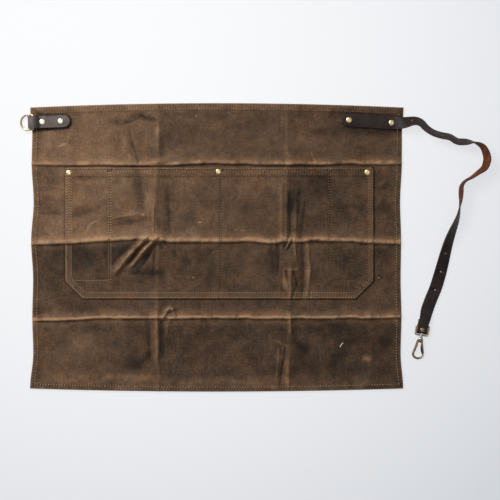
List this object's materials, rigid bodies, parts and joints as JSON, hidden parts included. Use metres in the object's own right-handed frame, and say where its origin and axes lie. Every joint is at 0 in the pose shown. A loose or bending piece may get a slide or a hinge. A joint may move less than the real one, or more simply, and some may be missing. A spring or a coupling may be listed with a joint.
{
  "type": "waist apron",
  "caption": "Waxed canvas waist apron with a sewn-on divided pocket patch, riveted leather waist strap with swivel clip, and a D-ring on a leather tab.",
  "frame": {"origin": "middle of the underside of the panel, between its crease folds", "axes": "+X along the waist edge towards the riveted strap, +Y towards the waist edge, +Z out of the front face with the pockets"},
  "size_m": [0.7525, 0.4615, 0.0204],
  "materials": {
    "canvas": "waxed, mottled, scuffed on the creases",
    "leather": "oiled hair side, tan flesh side and edges",
    "brass": "satin",
    "aged_brass": "antique",
    "steel": "plain"
  },
  "bodies": {
    "apron": {"apron_panel": "canvas", "pocket_panel": "canvas", "d_ring_tab": "leather", "waist_strap": "leather", "rivet_pocket_left_cap": "brass", "rivet_pocket_left_back": "brass", "rivet_pocket_middle_cap": "brass", "rivet_pocket_middle_back": "brass", "rivet_pocket_right_cap": "brass", "rivet_pocket_right_back": "brass", "rivet_tab_outer_cap": "brass", "rivet_tab_outer_back": "brass", "rivet_tab_inner_cap": "brass", "rivet_tab_inner_back": "brass", "rivet_strap_inner_cap": "brass", "rivet_strap_inner_back": "brass", "rivet_strap_outer_cap": "brass", "rivet_strap_outer_back": "brass", "strap_stud_post": "brass", "strap_stud_screw": "brass", "swivel_eye": "aged_brass"},
    "ring": {"d_ring": "brass"},
    "hook": {"hook_body": "aged_brass", "gate_pin": "steel", "gate_spring": "steel"},
    "gate": {"hook_gate": "aged_brass"}
  },
  "joints": [
    {"name": "d_ring_hinge", "type": "hinge", "parent": "apron", "child": "ring", "pos_m": [-0.2936, 0.2016, 0.0073], "axis": [-0.0436, 0.999, 0], "range_deg": [0, 165]},
    {"name": "hook_swivel", "type": "hinge", "parent": "apron", "child": "hook", "pos_m": [0.327, -0.1387, 0.003], "axis": [0.1561, 0.9859, 0.0604], "continuous": true},
    {"name": "gate_pivot", "type": "hinge", "parent": "hook", "child": "gate", "pos_m": [0.32767, -0.14851, 0.00242], "axis": [0.0094, 0.0596, -0.9982], "range_deg": [0, 25], "stiffness_Nm_per_rad": 0.02, "springref_deg": -8.59}
  ]
}
